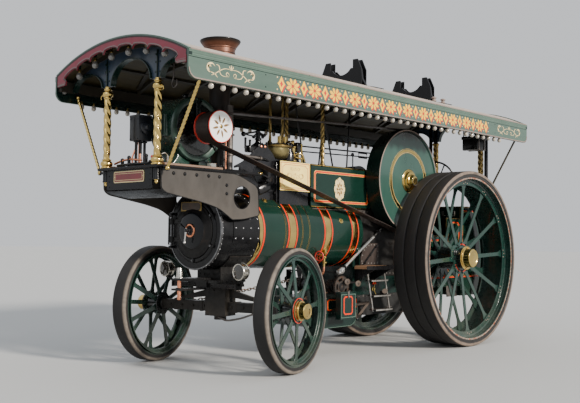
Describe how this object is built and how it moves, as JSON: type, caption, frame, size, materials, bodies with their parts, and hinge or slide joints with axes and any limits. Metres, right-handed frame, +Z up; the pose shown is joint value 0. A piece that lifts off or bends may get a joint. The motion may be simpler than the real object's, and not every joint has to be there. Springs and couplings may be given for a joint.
{
  "type": "road steam traction engine",
  "caption": "Road steam engine with boiler, smokebox, flywheel-driven dynamo, full-length canopy on brass posts, spoked rubber-tyred wheels and coal tender.",
  "frame": {"origin": "on the ground, under the middle of the canopy", "axes": "+X forward along the boiler, +Y to the engine's left, the flywheel side, +Z up"},
  "size_m": [6.04, 2.0232, 3.3998],
  "materials": {
    "green_paint": "deep gloss dark green",
    "black_paint": "satin black",
    "grey_paint": "satin grey-brown",
    "lamp_metal": "worn nickel",
    "worn_iron": "worn with light rust",
    "copper_paint": "heat-stained brown and black",
    "armature_red": "gloss red",
    "belt_leather": "dark belting",
    "brass": "polished",
    "bright_steel": "bright",
    "chain_steel": "dull",
    "board_wood": "worn plank",
    "tread_rubber": "matte",
    "roof_canvas": "painted canvas over boards",
    "sage_paint": "satin sage green",
    "crimson_paint": "satin crimson",
    "frame_wood": "dark varnish"
  },
  "bodies": {
    "chassis": {"boiler_barrel": "green_paint", "smokebox": "black_paint", "smokebox_saddle": "black_paint", "front_drawgear": "black_paint", "headlamps": "lamp_metal", "tow_pin": "worn_iron", "perch_plates": "grey_paint", "dynamo_platform": "grey_paint", "chimney": "copper_paint", "dynamo_frame": "green_paint", "exciter": "black_paint", "drive_belt": "belt_leather", "cylinder_block": "black_paint", "safety_valves": "brass", "motion_covers": "green_paint", "firebox": "green_paint", "hornplates": "black_paint", "gear_guard": "green_paint", "ashpan": "black_paint", "belly_tank": "black_paint", "toolbox": "green_paint", "running_boards": "board_wood", "boarding_ladders": "black_paint", "steering_column": "bright_steel", "steering_wheel": "black_paint", "steering_chains": "chain_steel", "rear_axle": "bright_steel", "tender": "green_paint", "rear_drawbar": "black_paint", "canopy_roof": "roof_canvas", "canopy_side_boards": "sage_paint", "canopy_end_boards": "crimson_paint", "canopy_frame": "frame_wood", "canopy_posts": "brass", "canopy_stays": "brass", "chimney_rests": "black_paint"},
    "front_axle": {"front_axle": "black_paint"},
    "front_wheel_left": {"front_wheel_left": "green_paint", "front_tyre_left": "tread_rubber"},
    "front_wheel_right": {"front_wheel_right": "green_paint", "front_tyre_right": "tread_rubber"},
    "rear_wheel_left": {"rear_wheel_left": "green_paint", "rear_tyre_left": "tread_rubber"},
    "rear_wheel_right": {"rear_wheel_right": "green_paint", "rear_tyre_right": "tread_rubber"},
    "flywheel": {"crankshaft": "bright_steel", "flywheel": "green_paint"},
    "dynamo_armature": {"dynamo_armature": "armature_red"},
    "smokebox_door": {"smokebox_door": "black_paint"},
    "firehole_door": {"firehole_door": "black_paint"},
    "steering_roller": {"steering_roller": "black_paint"}
  },
  "joints": [
    {"name": "steer", "type": "hinge", "parent": "chassis", "child": "front_axle", "pos_m": [1.697, 0, 0.6], "axis": [0, 0, 1], "range_deg": [-38, 12], "deforming": ["steering_chains"]},
    {"name": "front_wheel_left_turn", "type": "hinge", "parent": "front_axle", "child": "front_wheel_left", "pos_m": [1.51324, 0.79914, 0.6], "axis": [-0.2241, 0.9746, 0], "continuous": true},
    {"name": "front_wheel_right_turn", "type": "hinge", "parent": "front_axle", "child": "front_wheel_right", "pos_m": [1.88076, -0.79914, 0.6], "axis": [-0.2241, 0.9746, 0], "continuous": true},
    {"name": "rear_wheel_left_turn", "type": "hinge", "parent": "chassis", "child": "rear_wheel_left", "pos_m": [-1.603, 0.7575, 1.067], "axis": [0, 1, 0], "continuous": true},
    {"name": "rear_wheel_right_turn", "type": "hinge", "parent": "chassis", "child": "rear_wheel_right", "pos_m": [-1.603, -0.7575, 1.067], "axis": [0, 1, 0], "continuous": true},
    {"name": "crankshaft_spin", "type": "hinge", "parent": "chassis", "child": "flywheel", "pos_m": [-0.94, 0.39, 1.994], "axis": [0, 1, 0], "continuous": true},
    {"name": "dynamo_spin", "type": "hinge", "parent": "chassis", "child": "dynamo_armature", "pos_m": [2.18, 0, 2.328], "axis": [0, 1, 0], "continuous": true},
    {"name": "smokebox_door_swing", "type": "hinge", "parent": "chassis", "child": "smokebox_door", "pos_m": [2.087, -0.315, 1.357], "axis": [0, 0, -1], "range_deg": [0, 100]},
    {"name": "firehole_door_swing", "type": "hinge", "parent": "chassis", "child": "firehole_door", "pos_m": [-1.17, 0.17, 1.2], "axis": [0, 0, -1], "range_deg": [0, 100]},
    {"name": "roller_turn", "type": "hinge", "parent": "chassis", "child": "steering_roller", "pos_m": [0.27, 0, 0.76], "axis": [0, 1, 0], "range_deg": [-310, 100]}
  ],
  "couplings": [
    {"joint": "dynamo_spin", "follows": "crankshaft_spin", "ratio": 4.3034},
    {"joint": "roller_turn", "follows": "steer", "ratio": 8}
  ]
}
